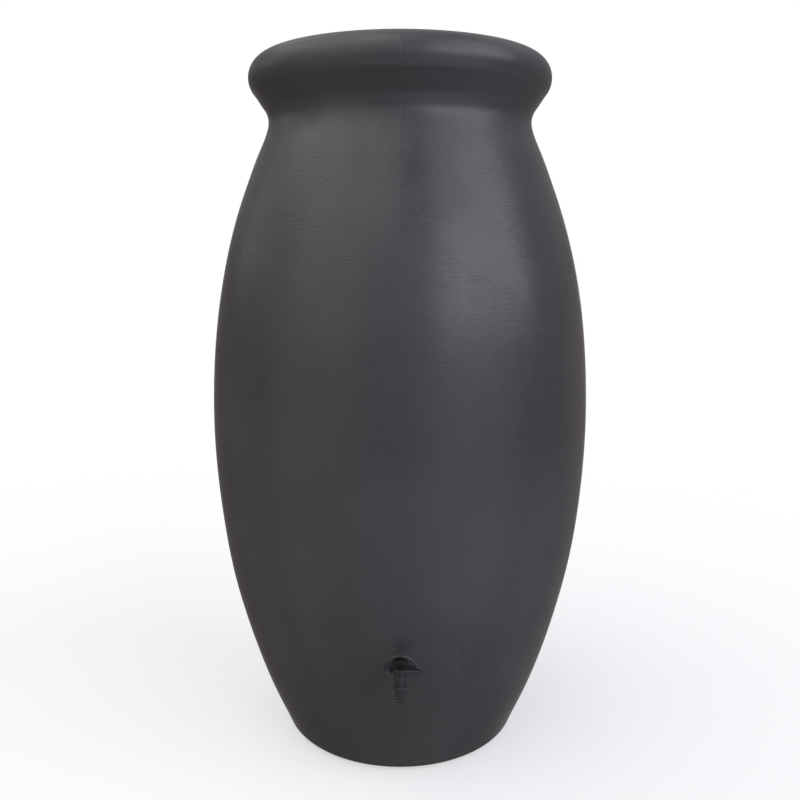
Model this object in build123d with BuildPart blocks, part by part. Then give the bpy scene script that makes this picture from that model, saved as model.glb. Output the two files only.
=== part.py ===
from build123d import *
import math
import os

# Rain barrel: a rotationally moulded urn-shaped tank with a rolled rim, a lever tap low on the
# front (-Y), an overflow elbow high on the back (+Y), and a drop-in lid with a leaf strainer.
# Frame: origin at the centre of the base on the ground, +Z up. Millimetres.

os.makedirs("parts", exist_ok=True)

# ---------------------------------------------------------------- driving dimensions
height = 1100.0          # overall, to the crown of the rolled rim
wall = 5.0               # moulded wall thickness
fit_gap = 0.05           # clearance of the round fits

foot_r = 173.6           # where the flat foot ring meets the bottom corner
corner_r = 24.2          # bottom corner radius
corner_lean = 20.9       # lean of the wall above the bottom corner, degrees from vertical
kick_up = 14.0           # height of the raised centre of the floor
kick_r_in = 116.0        # inner and outer radius of the slope round the raised centre
kick_r_out = 136.0
kick_blend = 9.0         # fillet at both ends of that slope, on the outside

roll_r = 34.0            # round section of the rolled rim
roll_centre_r = 202.0
roll_centre_z = height - roll_r
roll_start = -39.0       # where the neck runs into the roll, degrees on the round section
ledge_z = 1048.0         # lid ledge inside the mouth
ledge_blend = 8.0        # fillet between roll and ledge, on the outside
mouth_r = 140.0          # clear radius through the ledge

# (radius, height) stations of the outer wall between the bottom corner and the roll
wall_stations = [
    (217.1, 64.8), (246.9, 147.2), (263.2, 203.3), (283.3, 288.6), (296.3, 375.3),
    (303.7, 462.6), (305.6, 535.0), (303.2, 608.6), (294.6, 695.9), (279.5, 782.2),
    (256.3, 866.7), (236.1, 921.7), (225.3, 948.7), (214.6, 972.7), (208.0, 991.0),
    (206.4, 1001.5), (209.6, 1016.5), (217.8, 1029.0),
]
inner_spans = 36         # equal spans of the outer wall curve used to offset it inwards

# tap: every "out" value is a distance from the barrel's axis towards the front
seat_z = 208.0           # centre of the moulded tap recess
seat_r = 25.0
seat_out = 259.0         # flat floor of the recess
tap_z = 211.5            # height of the tap's inlet axis
nozzle_out = 300.0       # vertical axis of the valve and outlet
insert_r = 12.4          # moulded-in insert
insert_length = 19.0
insert_rim_r = 14.0      # rim that keys the insert into the boss
insert_rim_t = 6.0
thread_r = 10.4          # inlet thread, over its crests

# overflow, on the shoulder at the back
over_z = 905.0
over_r = 242.6           # wall radius at that height
over_lean = 20.6         # the wall normal points up by this much, degrees
over_hole_r = 16.0
over_seat_r = 23.0       # shallow flat seat outside
over_seat_depth = 1.5
over_pad_r = 26.0        # flat pad inside
over_pad_depth = 6.5     # inner face of the pad, below the outer surface

# Working frames: lengths along a part are measured in the frame's own Y direction.
lean = math.radians(over_lean)
# Y points forward (-Y of the barrel)
inlet = Plane(origin=(0, 0, tap_z), x_dir=(1, 0, 0), z_dir=(0, 0, -1))
tap_seat = Plane(origin=(0, 0, seat_z), x_dir=(1, 0, 0), z_dir=(0, 0, -1))
# Y points up
valve = Plane(origin=(0, -nozzle_out, 0), x_dir=(1, 0, 0), z_dir=(0, -1, 0))
centre = Plane(origin=(0, 0, 0), x_dir=(1, 0, 0), z_dir=(0, -1, 0))
# Y points out of the shoulder, square to it
over = Plane(
    origin=(0, over_r, over_z), x_dir=(1, 0, 0), z_dir=(0, -math.sin(lean), math.cos(lean))
)


def turned(points, plane):
    """A closed profile of (radius, distance) points turned about the plane's Y direction."""
    with BuildPart() as made:
        with BuildSketch(plane):
            with BuildLine():
                Polyline(*points, close=True)
            make_face()
        revolve(axis=Axis(plane.origin, plane.y_dir))
    return made.part


def level(plane, distance):
    """A sketch plane square to the plane's Y direction, at that distance along it."""
    return Plane(
        origin=plane.origin + plane.y_dir * distance, x_dir=plane.x_dir, z_dir=plane.y_dir
    )


def disc(plane, start, thickness, radius, hole_r=0):
    """A round disc, rod or ring about the plane's Y direction, from start onwards."""
    with BuildPart() as made:
        with BuildSketch(level(plane, start)):
            Circle(radius)
            if hole_r:
                Circle(hole_r, mode=Mode.SUBTRACT)
        extrude(amount=thickness)
    return made.part


def save(part, name):
    part.label = name
    export_step(part, f"parts/{name}.step")


# ---------------------------------------------------------------- tap insert, moulded in
insert_back = seat_out - insert_length
insert_step = insert_back + insert_rim_t
with BuildPart() as tap_insert:
    add(
        turned(
            [
                (0, insert_back), (insert_rim_r, insert_back), (insert_rim_r, insert_step),
                (insert_r, insert_step), (insert_r, seat_out), (0, seat_out),
            ],
            inlet,
        )
    )
    add(disc(inlet, insert_back, insert_length, thread_r + fit_gap), mode=Mode.SUBTRACT)
save(tap_insert.part, "tap_insert")

# ---------------------------------------------------------------- barrel shell
corner_angle = math.radians(corner_lean)
roll_angle = math.radians(roll_start)
wall_tangents = [
    (math.sin(corner_angle), math.cos(corner_angle)),
    (-math.sin(roll_angle), math.cos(roll_angle)),
]
corner_end = (
    foot_r + corner_r * math.cos(corner_angle),
    corner_r - corner_r * math.sin(corner_angle),
)
roll_begin = (
    roll_centre_r + roll_r * math.cos(roll_angle),
    roll_centre_z + roll_r * math.sin(roll_angle),
)


def urn(inset, stations):
    """Solid urn this far inside the moulded faces, closed at the ledge, and its wall curve."""
    mitre = inset * math.tan(math.atan2(kick_up, kick_r_out - kick_r_in) / 2)
    floor_in = (kick_r_in + mitre, kick_up + inset)
    floor_out = (kick_r_out + mitre, inset)
    roll_inner_r = roll_centre_r - roll_r + inset
    ledge_corner = (roll_inner_r, ledge_z - inset)
    with BuildPart() as body:
        with BuildSketch(Plane.XZ) as outline:
            with BuildLine():
                Polyline((0, kick_up + inset), floor_in, floor_out, (foot_r, inset))
                CenterArc((foot_r, corner_r), corner_r - inset, -90, 90 - corner_lean)
                wall_curve = Spline(*stations, tangents=wall_tangents)
                CenterArc(
                    (roll_centre_r, roll_centre_z), roll_r - inset, roll_start, 180 - roll_start
                )
                Polyline(
                    (roll_inner_r, roll_centre_z),
                    ledge_corner,
                    (0, ledge_z - inset),
                    (0, kick_up + inset),
                )
            make_face()
            for (x, y), radius in (
                (floor_in, kick_blend + inset),
                (floor_out, kick_blend - inset),
                (ledge_corner, ledge_blend + inset),
            ):
                fillet(
                    [v for v in outline.vertices() if abs(v.X - x) < 0.1 and abs(v.Y - y) < 0.1],
                    radius=radius,
                )
        revolve(axis=Axis.Z)
    return body.part, wall_curve


envelope, outer_wall = urn(0, [corner_end, *wall_stations, roll_begin])

inner_stations = []
for k in range(inner_spans + 1):
    at = outer_wall @ (k / inner_spans)
    along = outer_wall % (k / inner_spans)
    inner_stations.append((at.X - wall * along.Y, at.Y + wall * along.X))
hollow, _ = urn(wall, inner_stations)

# cup behind the tap recess and boss round the insert, trimmed to the outside of the moulding
with BuildPart() as tap_backing:
    add(disc(tap_seat, seat_out - wall, 24, seat_r + wall))
    add(disc(inlet, insert_back, insert_length, insert_rim_r + wall))
    add(envelope, mode=Mode.INTERSECT)

# flat pad on the inside of the shoulder for the overflow grommet
with BuildPart() as over_backing:
    add(disc(over, -over_pad_depth, over_pad_depth, over_pad_r))
    add(envelope, mode=Mode.INTERSECT)

# the cavity, less the backing left standing in it
with BuildPart() as cavity:
    add(hollow)
    add(tap_backing.part, mode=Mode.SUBTRACT)
    add(over_backing.part, mode=Mode.SUBTRACT)

socket_start = insert_back - 6   # the cuts start short of the boss, inside the cavity
with BuildPart() as barrel_shell:
    add(envelope)
    add(cavity.part, mode=Mode.SUBTRACT)
    # mouth through the ledge
    add(disc(centre, ledge_z - 2 * wall, 3 * wall, mouth_r), mode=Mode.SUBTRACT)
    # tap recess
    add(disc(tap_seat, seat_out, 30, seat_r), mode=Mode.SUBTRACT)
    # overflow seat and hole
    add(disc(over, -over_seat_depth, 12, over_seat_r), mode=Mode.SUBTRACT)
    add(disc(over, -12, 20, over_hole_r), mode=Mode.SUBTRACT)
    # stepped socket that the tap insert is moulded into
    add(disc(inlet, socket_start, 40, insert_r), mode=Mode.SUBTRACT)
    add(disc(inlet, socket_start, insert_step - socket_start, insert_rim_r), mode=Mode.SUBTRACT)
save(barrel_shell.part, "barrel_shell")

# ---------------------------------------------------------------- tap
washer_t = 1.6           # washer between barrel and tap
flange_t = 2.2           # tap flange
washer_out = seat_out + washer_t
flange_out = washer_out + flange_t

inlet_bore_r = 4.6
waterway_r = 3.2         # through the valve
outlet_r = 3.6           # bore of the outlet, its washer and the hose tail
outlet_z = 200.2         # lower end of the tap body
outlet_washer_t = 1.0
tap_top = 223.4          # upper end of the tap body, flush with the gland
neck_r = 4.45            # inlet where it joins the valve barrel

rotor_r = 5.9            # valve plug
chamber_z = 208.0        # floor of the valve chamber
spindle_r = 4.0
groove_r = 4.45          # seal groove in the plug
groove_low, groove_high = 216.0, 217.6
gland_mouth_r = 7.5
gland_seat = 218.6

lever_reach = 29.5
lever_hub_r = 11.6
lever_tip_r = 4.2
lever_low = 224.2
lever_top = 230.6
drive = 5.4              # square on the spindle
drive_z = 223.9
drive_length = 3.5
drive_hole = 5.5         # square pocket in the lever
drive_hole_top = 227.6
screw_seat = 228.9       # underside of the lever screw's head

save(disc(inlet, seat_out, washer_t, 12.2, thread_r + 0.2), "tap_washer")

tap_barrel = turned(
    [
        (0, outlet_z), (6.5, outlet_z), (6.95, 200.7), (6.95, 206.4), (7.2, 206.7),
        (7.2, 209.0), (8.6, 210.6), (8.6, 213.6), (9.1, 214.4), (9.1, 222.8),
        (8.5, tap_top), (0, tap_top),
    ],
    valve,
)
tap_inlet = turned(
    [
        (0, seat_out - 16), (9.6, seat_out - 16), (thread_r, seat_out - 15),
        (thread_r, washer_out), (12.3, washer_out), (12.7, washer_out + 0.4),
        (12.7, flange_out - 0.8), (11.9, flange_out), (9.2, flange_out),
        (7.8, flange_out + 1.4), (7.5, 286.2), (neck_r, 290.2), (neck_r, nozzle_out),
        (0, nozzle_out),
    ],
    inlet,
)
inlet_start = seat_out - 17
inlet_bore_end = nozzle_out - 12
with BuildPart() as tap_body:
    add(tap_barrel)
    add(tap_inlet)
    # inlet way, stepped down where it meets the valve
    add(
        disc(inlet, inlet_start, inlet_bore_end - inlet_start, inlet_bore_r),
        mode=Mode.SUBTRACT,
    )
    add(disc(inlet, nozzle_out - 13, 13, waterway_r), mode=Mode.SUBTRACT)
    # valve chamber, gland mouth and outlet
    add(disc(valve, chamber_z, 12, rotor_r + fit_gap), mode=Mode.SUBTRACT)
    add(disc(valve, gland_seat, 6, gland_mouth_r), mode=Mode.SUBTRACT)
    add(disc(valve, 199, 10, outlet_r), mode=Mode.SUBTRACT)
save(tap_body.part, "tap_body")

rotor_low, rotor_high, spindle_top = chamber_z + 0.1, gland_seat - 0.1, 224.0
with BuildPart() as tap_rotor:
    add(
        turned(
            [
                (0, rotor_low), (rotor_r, rotor_low), (rotor_r, groove_low),
                (groove_r, groove_low), (groove_r, groove_high), (rotor_r, groove_high),
                (rotor_r, rotor_high), (spindle_r, rotor_high), (spindle_r, spindle_top),
                (0, spindle_top),
            ],
            valve,
        )
    )
    # square drive for the lever
    with BuildSketch(level(valve, drive_z)):
        Rectangle(drive, drive)
    extrude(amount=drive_length)
    # waterway: up the middle, out to the side (-X while the tap is shut)
    add(disc(valve, chamber_z, tap_z - chamber_z, waterway_r), mode=Mode.SUBTRACT)
    with BuildSketch(Plane(origin=(0, -nozzle_out, tap_z), x_dir=(0, 1, 0), z_dir=(-1, 0, 0))):
        Circle(waterway_r)
    extrude(amount=8, mode=Mode.SUBTRACT)
    # lever screw hole
    add(disc(valve, 219.0, 10, 1.25), mode=Mode.SUBTRACT)
save(tap_rotor.part, "tap_rotor")

with BuildPart() as tap_rotor_seal:
    with BuildSketch(valve):
        with Locations((5.18, (groove_low + groove_high) / 2)):
            Circle(0.7)
    revolve(axis=Axis(valve.origin, valve.y_dir))
save(tap_rotor_seal.part, "tap_rotor_seal")

gland_low = gland_seat + fit_gap
with BuildPart() as tap_gland:
    add(
        disc(valve, gland_low, tap_top - gland_low, gland_mouth_r - fit_gap, spindle_r + fit_gap)
    )
    # pin-spanner holes
    with BuildSketch(level(valve, tap_top - 2)):
        with PolarLocations(5.75, 2, start_angle=90):
            Circle(0.8)
    extrude(amount=4, mode=Mode.SUBTRACT)
save(tap_gland.part, "tap_gland")

# lever: plan outline cut from a drooping side profile
with BuildPart() as tap_lever:
    with BuildSketch(level(valve, 215)):
        Circle(lever_hub_r)
        with Locations((lever_reach - lever_tip_r, 0)):
            Circle(lever_tip_r)
        make_hull()
    extrude(amount=20)
    with BuildSketch(valve):
        with BuildLine():
            Spline(
                (-lever_hub_r, 227.4),
                (-8.5, 230.1),
                (0, lever_top),
                (9, 230.3),
                (20, 228.4),
                (lever_reach, 225.6),
            )
            Polyline(
                (lever_reach, 225.6),
                (lever_reach + 0.2, 222.4),
                (lever_reach - 3, 221.9),
                (16, 223.9),
                (12.2, lever_low),
                (-11.8, lever_low),
                (-lever_hub_r, 227.4),
            )
        make_face()
    extrude(amount=14, both=True, mode=Mode.INTERSECT)
    # square pocket, then screw hole and its counterbore
    with BuildSketch(level(valve, lever_low - 1)):
        Rectangle(drive_hole, drive_hole)
    extrude(amount=drive_hole_top - lever_low + 1, mode=Mode.SUBTRACT)
    add(disc(valve, 220, 15, 1.6), mode=Mode.SUBTRACT)
    add(disc(valve, screw_seat, 5, 3.1), mode=Mode.SUBTRACT)
save(tap_lever.part, "tap_lever")

with BuildPart() as tap_lever_screw:
    add(
        turned(
            [
                (0, 219.6), (1.2, 219.6), (1.2, screw_seat), (2.9, screw_seat), (2.9, 229.8),
                (2.4, 230.3), (0, 230.3),
            ],
            valve,
        )
    )
    # cross recess
    with BuildSketch(level(valve, 229.3)):
        with PolarLocations(0, 2):
            Rectangle(3.4, 0.7)
        Rectangle(0.7, 3.4)
    extrude(amount=2, mode=Mode.SUBTRACT)
save(tap_lever_screw.part, "tap_lever_screw")

tail_top = outlet_z - outlet_washer_t
tail_flange_r = 6.6
tail_seat = 197.8        # the nut's lip bears on the tail's flange here
with BuildPart() as tap_outlet_nut:
    add(
        turned(
            [
                (5.7, 196.6), (8.0, 196.6), (8.7, 197.5), (8.7, 202.4), (8.1, 203.2),
                (7.0, 203.2), (7.0, tail_seat), (5.7, tail_seat),
            ],
            valve,
        )
    )
    # finger grooves
    with BuildSketch(level(valve, 196)):
        with PolarLocations(9.25, 16):
            Circle(0.9)
    extrude(amount=10, mode=Mode.SUBTRACT)
save(tap_outlet_nut.part, "tap_outlet_nut")

save(disc(valve, tail_top, outlet_washer_t, tail_flange_r, outlet_r), "tap_outlet_washer")

hose_tail = turned(
    [
        (outlet_r, tail_top), (tail_flange_r, tail_top), (tail_flange_r, tail_seat),
        (5.6, tail_seat), (5.6, 193.6),
        (6.5, 193.0), (6.5, 191.4), (5.2, 188.2), (5.2, 187.7),
        (6.0, 187.2), (6.0, 186.4), (4.9, 183.4), (4.9, 182.9),
        (5.5, 182.4), (5.5, 181.6), (4.6, 178.6), (outlet_r, 178.6),
    ],
    valve,
)
save(hose_tail, "hose_tail")

# ---------------------------------------------------------------- overflow
stub_r = 13.0            # elbow stub through the grommet
elbow_r = 12.4
elbow_bore_r = 10.4
barb_r = 13.4            # over the largest barb
stub_end = -13.5         # inner end of the elbow
screen_r = 11.6
screen_t = 1.8
screen_pocket = 2.0
bend_out = 26.0          # start of the bend, out from the wall
bend_r = 15.0
leg_tube = 14.0          # plain length below the bend
leg = 46.0               # whole length below the bend

grommet_bore_r = stub_r + fit_gap
overflow_grommet = turned(
    [
        (grommet_bore_r, -9.0), (18.2, -9.0), (19.0, -8.2), (19.0, -over_pad_depth),
        (over_hole_r, -over_pad_depth), (over_hole_r, -over_seat_depth),
        (20.5, -over_seat_depth), (20.5, 0.2), (19.2, 1.5), (grommet_bore_r, 1.5),
    ],
    over,
)
save(overflow_grommet, "overflow_grommet")

# frame of the bend: X out of the wall, Y down the leg
side = Plane(origin=over.origin, x_dir=over.y_dir, z_dir=(-1, 0, 0))
leg_plane = Plane(
    origin=over.origin + over.y_dir * (bend_out + bend_r) + side.y_dir * bend_r,
    x_dir=(1, 0, 0),
    z_dir=Vector(1, 0, 0).cross(side.y_dir),
)
elbow_stub = turned(
    [
        (elbow_bore_r, stub_end), (13.2, stub_end), (14.1, -11.6), (14.1, -9.3),
        (stub_r, -9.3), (stub_r, 1.6), (17.6, 1.6), (17.6, 4.0), (17.0, 4.6),
        (elbow_r, 4.6), (elbow_r, 6.0), (elbow_bore_r, 6.0),
    ],
    over,
)
elbow_barbs = turned(
    [
        (elbow_bore_r, 6), (elbow_r, 6), (elbow_r, leg_tube),
        (barb_r, 14.6), (barb_r, 17.0), (11.9, 23),
        (12.8, 23.6), (12.8, 24.6), (11.8, 31),
        (12.6, 31.6), (12.6, 32.6), (11.6, 39),
        (12.4, 39.6), (12.4, 40.6), (11.3, leg), (elbow_bore_r, leg),
    ],
    leg_plane,
)
with BuildPart() as overflow_elbow:
    with BuildLine(side) as run:
        Line((4.0, 0), (bend_out, 0))
        CenterArc((bend_out, bend_r), bend_r, -90, 90)
        Line((bend_out + bend_r, bend_r), (bend_out + bend_r, bend_r + leg_tube))
    with BuildSketch(level(over, 4.0)):
        Circle(elbow_r)
        Circle(elbow_bore_r, mode=Mode.SUBTRACT)
    sweep(path=run.wires()[0])
    add(elbow_stub)
    add(elbow_barbs)
    # counterbore that holds the screen at the inner end
    add(disc(over, stub_end, screen_pocket, screen_r), mode=Mode.SUBTRACT)
save(overflow_elbow.part, "overflow_elbow")

bar_pitch, bar_width, bar_length = 2.8, 0.7, 22.6
with BuildPart() as overflow_screen:
    with BuildSketch(level(over, stub_end + screen_pocket - screen_t)):
        Circle(screen_r)
        Circle(9.9, mode=Mode.SUBTRACT)
        with GridLocations(bar_pitch, 0, 7, 1):
            Rectangle(bar_width, bar_length)
        with GridLocations(0, bar_pitch, 1, 7):
            Rectangle(bar_length, bar_width)
    extrude(amount=screen_t)
    # trim the bar ends to the rim
    add(disc(over, -14, 4, screen_r), mode=Mode.INTERSECT)
save(overflow_screen.part, "overflow_screen")

# ---------------------------------------------------------------- lid
lid_r = 163.0
lid_flange_t = 4.0
skirt_r = 138.5
skirt_t = 4.0
inlet_r = 62.0           # opening for the strainer
rim_z = 1034.0           # seat of the strainer's rim
seal_t = 3.0
grip_r = 149.0           # grips stand this far out on X
grip_length, grip_t, grip_h = 44.0, 9.0, 22.0
grip_hole_w, grip_hole_h = 32.0, 14.0

save(disc(centre, ledge_z, seal_t, 159.0, mouth_r + 1.5), "lid_seal")

flange_z = ledge_z + seal_t
flange_top = flange_z + lid_flange_t
skirt_inner_r = skirt_r - skirt_t
lid_dish = turned(
    [
        (lid_r, flange_top - 0.8), (lid_r - 0.8, flange_top), (skirt_inner_r, flange_top),
        (skirt_inner_r, 1041.0), (73.0, 1036.0), (73.0, rim_z), (inlet_r, rim_z),
        (inlet_r, 1031.0), (77.0, 1031.0), (skirt_r, 1036.6), (skirt_r, flange_z),
        (lid_r, flange_z),
    ],
    centre,
)
with BuildPart() as lid:
    add(lid_dish)
    # stiffening ribs under the dish
    with BuildSketch(Plane.XY.offset(1024)):
        with PolarLocations(106, 12):
            Rectangle(58, 3.0)
    extrude(amount=10.5)
    # two grips standing on the flange, sunk 0.1 into it
    grip_z = flange_top - 0.1 + grip_h / 2
    with BuildSketch(Plane.XZ.offset(-grip_length / 2)):
        with Locations((grip_r, grip_z), (-grip_r, grip_z)):
            RectangleRounded(grip_t, grip_h, 3.0)
    extrude(amount=grip_length)
    # finger opening through both grips
    with BuildSketch(Plane.YZ.offset(-lid_r)):
        with Locations((0, flange_top + grip_hole_h / 2)):
            RectangleRounded(grip_hole_w, grip_hole_h, 5.0)
    extrude(amount=2 * lid_r, mode=Mode.SUBTRACT)
save(lid.part, "lid")

# ---------------------------------------------------------------- strainer
basket_depth = 54.0
basket_floor_t = 2.5
basket_rim_t = 2.6
basket_foot_r = 47.9     # inner radius at the floor
basket_top_r = 59.2      # inner radius at the top
foot_z = rim_z - basket_depth
floor_z = foot_z + basket_floor_t
basket_top = rim_z + basket_rim_t

basket_cup = turned(
    [
        (0, foot_z), (50.0, foot_z), (61.5, rim_z), (72.5, rim_z), (72.5, basket_top),
        (basket_top_r, basket_top), (basket_foot_r, floor_z), (0, floor_z),
    ],
    centre,
)
# (height of centre above the foot, window height, window width)
window_tiers = [(14, 15.0, 11.0), (34, 17.0, 12.5)]
windows = 16
# (pitch radius, number of floor holes)
floor_rings = [(14, 6), (27, 12), (40, 18)]
with BuildPart() as strainer_basket:
    add(basket_cup)
    for rise, window_h, window_w in window_tiers:
        for k in range(windows):
            turn = math.radians(360 / windows * k)
            window_plane = Plane(
                origin=(0, 0, foot_z + rise),
                x_dir=(-math.sin(turn), math.cos(turn), 0),
                z_dir=(math.cos(turn), math.sin(turn), 0),
            )
            with BuildSketch(window_plane.offset(44)):
                RectangleRounded(window_w, window_h, 2.0)
            extrude(amount=22, mode=Mode.SUBTRACT)
    with BuildSketch(Plane.XY.offset(foot_z - 1)):
        for ring_radius, count in floor_rings:
            with PolarLocations(ring_radius, count):
                Circle(4.6)
    extrude(amount=5, mode=Mode.SUBTRACT)
save(strainer_basket.part, "strainer_basket")

# mesh liner, following the slope of the basket wall
mesh_t = 0.8
mesh_foot_r = basket_foot_r - 0.1
mesh_top = rim_z - 2.0
slope = (basket_top_r - basket_foot_r) / (basket_top - floor_z)
mesh_top_r = mesh_foot_r + slope * (mesh_top - floor_z)
strainer_mesh = turned(
    [
        (0, floor_z), (mesh_foot_r, floor_z), (mesh_top_r, mesh_top),
        (mesh_top_r - mesh_t, mesh_top), (mesh_foot_r - 0.65, floor_z + mesh_t),
        (0, floor_z + mesh_t),
    ],
    centre,
)
save(strainer_mesh, "strainer_mesh")

# ring that holds the mesh down inside the basket
ring_r = mesh_top_r - 0.2
strainer_ring = turned(
    [
        (ring_r - 3.4, mesh_top), (ring_r - 0.2, mesh_top), (ring_r + 0.3, mesh_top + 2.6),
        (ring_r - 0.3, mesh_top + 3.2), (ring_r - 2.8, mesh_top + 3.2),
        (ring_r - 3.4, mesh_top + 2.4),
    ],
    centre,
)
save(strainer_ring, "strainer_ring")
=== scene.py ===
"""A plastic barrel with a lid, a strainer cup in its mouth, a tap low on the front and an
overflow elbow high on the back.

It stands on z = 0 with its axis on Z. The front faces -Y, towards the camera. Lengths are in
millimetres, and MM turns them into metres. Material, floor and camera lengths are in metres.
"""
import bpy
import bmesh
import math
import numpy as np
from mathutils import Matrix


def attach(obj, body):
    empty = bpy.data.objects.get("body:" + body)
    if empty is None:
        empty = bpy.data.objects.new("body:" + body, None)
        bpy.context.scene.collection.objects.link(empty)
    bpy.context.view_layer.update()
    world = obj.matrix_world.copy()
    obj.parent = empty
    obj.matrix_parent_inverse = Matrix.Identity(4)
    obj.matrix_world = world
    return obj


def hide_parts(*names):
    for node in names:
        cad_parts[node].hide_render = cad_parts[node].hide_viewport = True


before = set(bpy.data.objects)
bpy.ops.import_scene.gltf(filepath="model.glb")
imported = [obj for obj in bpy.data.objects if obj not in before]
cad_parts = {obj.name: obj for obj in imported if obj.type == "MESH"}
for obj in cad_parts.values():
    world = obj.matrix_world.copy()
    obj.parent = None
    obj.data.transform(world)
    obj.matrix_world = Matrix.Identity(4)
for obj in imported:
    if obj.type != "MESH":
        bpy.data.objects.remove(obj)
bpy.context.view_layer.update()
scene = bpy.context.scene
TAU = 2 * math.pi
MM = 0.001

# ------------------------------------------------------------------ shared dimensions
WALL = 5.0
# outside of the barrel wall, from the foot to the neck: radius, height
STATIONS = [
    (217.1, 64.8), (246.9, 147.2), (263.2, 203.3), (283.3, 288.6), (296.3, 375.3),
    (303.7, 462.6), (305.6, 535.0), (303.2, 608.6), (294.6, 695.9), (279.5, 782.2),
    (256.3, 866.7), (236.1, 921.7), (225.3, 948.7), (214.6, 972.7), (208.0, 991.0),
    (206.4, 1001.5), (209.6, 1016.5), (217.8, 1029.0),
]
# foot: the rounded corner under the wall, and the wall's lean from upright, degrees
FOOT_R, CORNER_R, FOOT_LEAN = 173.6, 24.2, 20.9
# rolled rim: centre (radius, height), section radius and the angle where it starts, degrees
ROLL_CENTRE, ROLL_R, ROLL_START = (202.0, 1066.0), 34.0, -39.0
LEDGE, MOUTH_R = 1048.0, 140.0
FLOOR = 14.0
FRONT, BACK = 1.5 * math.pi, 0.5 * math.pi

# tap: the round recess in the wall, its distance out from the axis, and the hole through it
SEAT_Z, SEAT_R, SEAT_OUT = 208.0, 25.0, 259.0
TAP_Z, TAP_HOLE_R = 211.5, 12.4
NOZZLE = 300.0
# half-round bead along the edge of the recess: section radius, and radius of its centre line
BEAD, BEAD_R = 2.4, SEAT_R - 0.6

# overflow: its centre on the wall, and two axes there, straight out and down the wall
OVER_LEAN = math.radians(20.6)
over_origin = np.array([0, 242.6, 905.0])
over_out = np.array([0, math.cos(OVER_LEAN), math.sin(OVER_LEAN)])
over_down = np.array([0, math.sin(OVER_LEAN), -math.cos(OVER_LEAN)])
OVER_SINK = 1.5

FLANGE = LEDGE + 3.0  # underside of the lid's flange, with the seal between it and the ledge


# ------------------------------------------------------------------ curves
def smooth01(t):
    t = np.clip(t, 0, 1)
    return t * t * (3 - 2 * t)


def wrap(angle):
    """The angle brought to between -pi and pi."""
    return (angle + math.pi) % TAU - math.pi


def spline(points, start_slope, end_slope, samples):
    """Clamped cubic with chord-length knots; returns sampled points and unit tangents."""
    p = np.array(points, float)
    knots = np.concatenate([[0], np.cumsum(np.linalg.norm(np.diff(p, axis=0), axis=1))])
    h = np.diff(knots)
    n = len(p)
    system = np.zeros((n, n))
    target = np.zeros((n, 2))
    system[0, 0] = system[-1, -1] = 1
    target[0], target[-1] = start_slope, end_slope
    for i in range(1, n - 1):
        system[i, i - 1], system[i, i], system[i, i + 1] = h[i], 2 * (h[i - 1] + h[i]), h[i - 1]
        target[i] = 3 * (
            h[i] / h[i - 1] * (p[i] - p[i - 1]) + h[i - 1] / h[i] * (p[i + 1] - p[i])
        )
    slope = np.linalg.solve(system, target)
    s = np.linspace(0, knots[-1], samples)
    k = np.clip(np.searchsorted(knots, s, side="right") - 1, 0, n - 2)
    t = ((s - knots[k]) / h[k])[:, None]
    span = h[k][:, None]
    position = (
        (2 * t**3 - 3 * t**2 + 1) * p[k] + (t**3 - 2 * t**2 + t) * span * slope[k]
        + (-2 * t**3 + 3 * t**2) * p[k + 1] + (t**3 - t**2) * span * slope[k + 1]
    )
    tangent = (
        (6 * t**2 - 6 * t) * p[k] / span + (3 * t**2 - 4 * t + 1) * slope[k]
        + (-6 * t**2 + 6 * t) * p[k + 1] / span + (3 * t**2 - 2 * t) * slope[k + 1]
    )
    tangent /= np.linalg.norm(tangent, axis=1)[:, None]
    return position, tangent


def arc(centre, radius, start, end, count):
    """Points on an arc, degrees, both ends included."""
    a = np.radians(np.linspace(start, end, count))
    return np.stack([centre[0] + radius * np.cos(a), centre[1] + radius * np.sin(a)], axis=1)


def rounded(corners, step=22.5):
    """Rounds an outline of (a, b, corner radius); a radius of 0 keeps the corner.

    An open line has radius 0 at both ends. step is the most degrees between points.
    """
    out = []
    for i, (x, y, radius) in enumerate(corners):
        p = np.array((x, y), float)
        if radius <= 0:
            out.append(tuple(p))
            continue
        a = np.array(corners[i - 1][:2], float) - p
        b = np.array(corners[(i + 1) % len(corners)][:2], float) - p
        len_a, len_b = np.linalg.norm(a), np.linalg.norm(b)
        a, b = a / len_a, b / len_b
        half = math.acos(max(-1, min(1, float(a @ b)))) / 2
        if half > math.pi / 2 - 0.03:  # nearly straight
            out.append(tuple(p))
            continue
        # how far the rounding reaches along each side, short of meeting the next one
        reach = min(radius / math.tan(half), 0.48 * len_a, 0.48 * len_b)
        fitted = reach * math.tan(half)
        c = p + (a + b) / np.linalg.norm(a + b) * (fitted / math.sin(half))
        s, e = p + a * reach - c, p + b * reach - c
        start = math.atan2(s[1], s[0])
        turn = wrap(math.atan2(e[1], e[0]) - start)
        count = max(2, int(math.ceil(abs(math.degrees(turn)) / step)))
        for j in range(count + 1):
            q = start + turn * j / count
            out.append((c[0] + fitted * math.cos(q), c[1] + fitted * math.sin(q)))
    return out


def even(points, step):
    """Resamples a dense polyline at about the given spacing."""
    p = np.array(points, float)
    d = np.concatenate([[0], np.cumsum(np.linalg.norm(np.diff(p, axis=0), axis=1))])
    count = max(2, int(round(d[-1] / step)))
    s = np.linspace(0, d[-1], count + 1)
    return np.stack([np.interp(s, d, p[:, 0]), np.interp(s, d, p[:, 1])], axis=1)


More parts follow.
